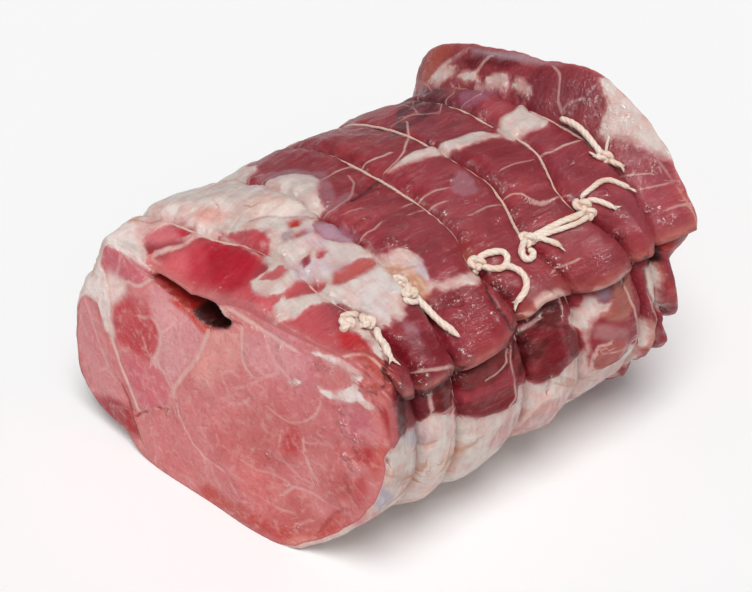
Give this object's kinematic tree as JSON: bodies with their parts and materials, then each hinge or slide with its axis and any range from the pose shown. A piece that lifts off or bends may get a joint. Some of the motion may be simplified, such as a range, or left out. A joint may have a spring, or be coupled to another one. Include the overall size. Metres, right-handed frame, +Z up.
{
  "type": "boneless pork neck",
  "caption": "Raw boneless pork neck joint, rolled and tied with butcher's twine, lying on its side with a cut face at each end.",
  "frame": {"origin": "middle of the bounding box, on the plane the roll lies on", "axes": "+X along the roll, from the cut face with the open seam to the end with the flared top layer; +Z up; the layered, fatty flank faces -Y"},
  "size_m": [0.1597, 0.1468, 0.1113],
  "materials": {
    "meat": "moist",
    "twine": "twisted cotton"
  },
  "bodies": {
    "root": {"meat": "meat", "tie_1": "twine", "tie_2": "twine", "tie_3": "twine", "tie_4": "twine", "tie_5": "twine", "tie_6": "twine"}
  },
  "joints": []
}
